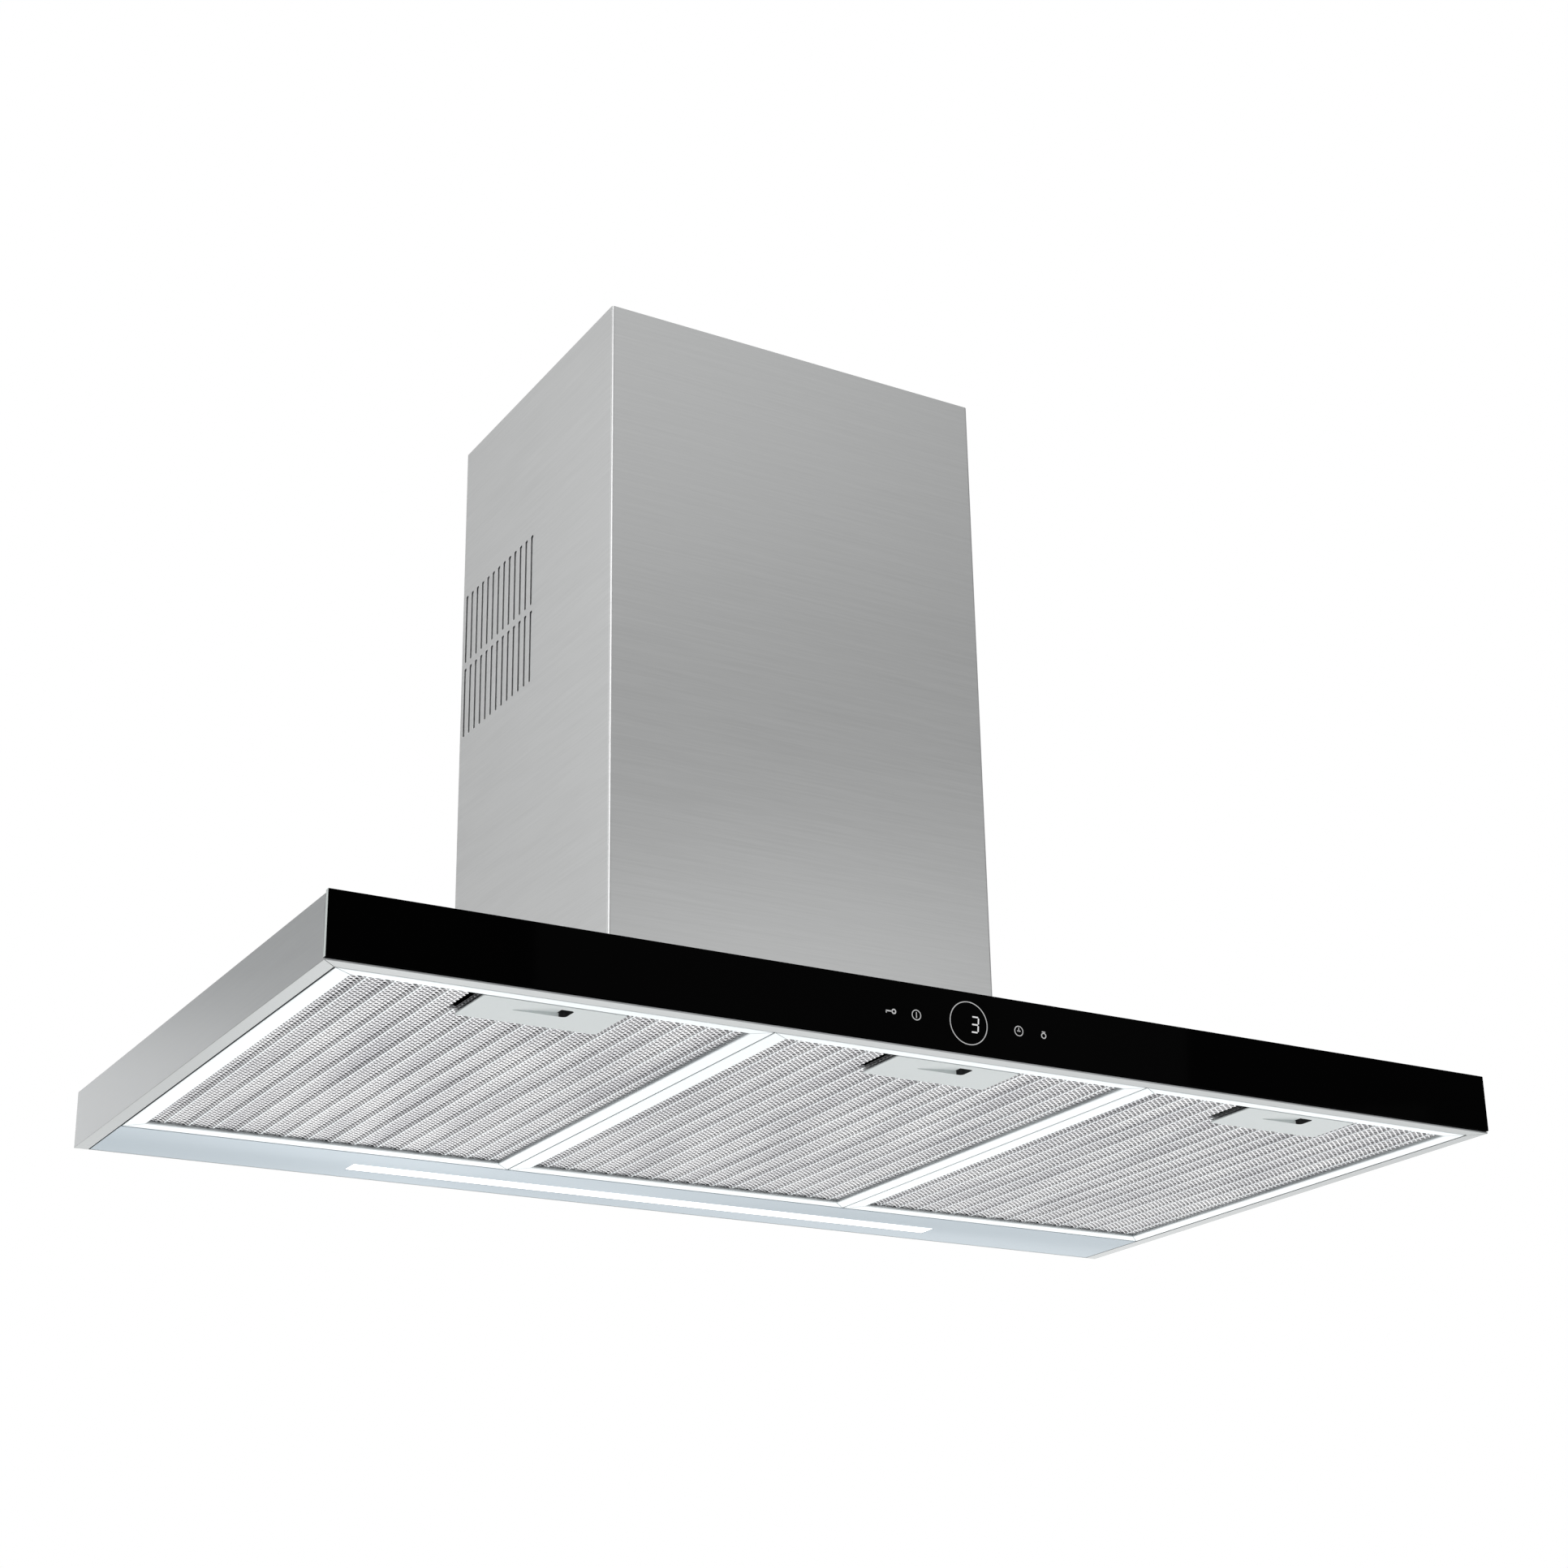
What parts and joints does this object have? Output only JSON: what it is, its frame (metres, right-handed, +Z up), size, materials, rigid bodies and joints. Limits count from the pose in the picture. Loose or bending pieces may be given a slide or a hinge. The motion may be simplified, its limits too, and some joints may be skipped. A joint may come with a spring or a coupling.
{
  "type": "range hood",
  "caption": "Wall-mounted chimney range hood: slim steel canopy, black glass front with touch controls, aluminium grease filters, rear light strip and telescopic chimney.",
  "frame": {"origin": "underside of the canopy, halfway across and halfway from the glass face to the wall plane", "axes": "+X right as one faces the glass, +Y towards the wall, +Z up"},
  "size_m": [0.898, 0.486, 0.631],
  "materials": {
    "canopy_steel": "brushed along its length, satin",
    "chimney_steel": "brushed across its width, satin",
    "light_panel_steel": "bright satin",
    "black_glass": "opaque black back-painted tempered glass, mirror smooth",
    "diffuser": "opal acrylic, lit from behind",
    "lamp_aluminium": "mill finish",
    "circuit_board": "solder-masked glass epoxy",
    "white_plastic": "moulded, fine grain",
    "black_plastic": "moulded, fine grain",
    "impeller_plastic": "moulded, satin",
    "galvanised_steel": "hot-dip galvanised, fine spangle",
    "zinc_screw": "zinc plated",
    "spring_steel": "drawn wire",
    "motor_steel": "satin black paint",
    "frame_aluminium": "satin anodised",
    "mesh_aluminium": "expanded sheet, bright",
    "latch_plastic": "light grey, satin moulded"
  },
  "bodies": {
    "hood": {"canopy_shell": "canopy_steel", "front_glass": "black_glass", "rear_light_panel": "light_panel_steel", "light_diffuser": "diffuser", "lamp_housing": "lamp_aluminium", "led_board": "circuit_board", "led_driver": "white_plastic", "touch_board": "circuit_board", "display_module": "black_plastic", "control_cover": "black_plastic", "lower_chimney": "chimney_steel", "blower_case": "galvanised_steel", "wall_hanging_strip": "galvanised_steel", "wall_screw_left": "zinc_screw", "wall_screw_right": "zinc_screw", "scroll_wrap": "galvanised_steel", "scroll_cheek_left": "galvanised_steel", "scroll_cheek_right": "galvanised_steel", "inlet_ring_left": "black_plastic", "inlet_ring_right": "black_plastic", "motor": "motor_steel", "motor_bracket": "galvanised_steel", "capacitor": "white_plastic", "outlet_collar": "black_plastic", "damper_rod": "zinc_screw", "power_box": "white_plastic", "power_box_lid": "white_plastic", "power_board": "circuit_board", "cable_gland": "black_plastic", "case_screw_1": "zinc_screw", "case_screw_2": "zinc_screw", "case_screw_3": "zinc_screw", "case_screw_4": "zinc_screw"},
    "upper_chimney": {"upper_chimney": "chimney_steel", "chimney_wall_bracket": "galvanised_steel", "bracket_screw_left": "zinc_screw", "bracket_screw_right": "zinc_screw"},
    "filter_1": {"filter_frame_1": "frame_aluminium", "filter_mesh_1": "mesh_aluminium", "latch_carrier_1": "latch_plastic", "latch_spring_1": "spring_steel"},
    "latch_1": {"latch_plate_1": "latch_plastic"},
    "filter_2": {"filter_frame_2": "frame_aluminium", "filter_mesh_2": "mesh_aluminium", "latch_carrier_2": "latch_plastic", "latch_spring_2": "spring_steel"},
    "latch_2": {"latch_plate_2": "latch_plastic"},
    "filter_3": {"filter_frame_3": "frame_aluminium", "filter_mesh_3": "mesh_aluminium", "latch_carrier_3": "latch_plastic", "latch_spring_3": "spring_steel"},
    "latch_3": {"latch_plate_3": "latch_plastic"},
    "fan_wheel": {"impeller": "impeller_plastic", "motor_shaft": "zinc_screw"},
    "damper_front": {"damper_flap_front": "black_plastic"},
    "damper_rear": {"damper_flap_rear": "black_plastic"}
  },
  "joints": [
    {"name": "chimney_slide", "type": "slide", "parent": "hood", "child": "upper_chimney", "axis": [0, 0, 1], "range_m": [0, 0.395]},
    {"name": "filter_1_hinge", "type": "hinge", "parent": "hood", "child": "filter_1", "pos_m": [-0.292, 0.1689, 0], "axis": [1, 0, 0], "range_deg": [0, 70]},
    {"name": "filter_2_hinge", "type": "hinge", "parent": "hood", "child": "filter_2", "pos_m": [0, 0.1689, 0], "axis": [1, 0, 0], "range_deg": [0, 70]},
    {"name": "filter_3_hinge", "type": "hinge", "parent": "hood", "child": "filter_3", "pos_m": [0.292, 0.1689, 0], "axis": [1, 0, 0], "range_deg": [0, 70]},
    {"name": "latch_1_slide", "type": "slide", "parent": "filter_1", "child": "latch_1", "axis": [0, 1, 0], "range_m": [0, 0.008], "stiffness_N_per_m": 400, "springref_m": -0.004, "deforming": ["latch_spring_1"]},
    {"name": "latch_2_slide", "type": "slide", "parent": "filter_2", "child": "latch_2", "axis": [0, 1, 0], "range_m": [0, 0.008], "stiffness_N_per_m": 400, "springref_m": -0.004, "deforming": ["latch_spring_2"]},
    {"name": "latch_3_slide", "type": "slide", "parent": "filter_3", "child": "latch_3", "axis": [0, 1, 0], "range_m": [0, 0.008], "stiffness_N_per_m": 400, "springref_m": -0.004, "deforming": ["latch_spring_3"]},
    {"name": "fan_spin", "type": "hinge", "parent": "hood", "child": "fan_wheel", "pos_m": [0, 0.095, 0.157], "axis": [1, 0, 0], "continuous": true},
    {"name": "damper_front_hinge", "type": "hinge", "parent": "hood", "child": "damper_front", "pos_m": [0, 0.13, 0.312], "axis": [-1, 0, 0], "range_deg": [0, 75]},
    {"name": "damper_rear_hinge", "type": "hinge", "parent": "hood", "child": "damper_rear", "pos_m": [0, 0.13, 0.312], "axis": [1, 0, 0], "range_deg": [0, 75]}
  ]
}
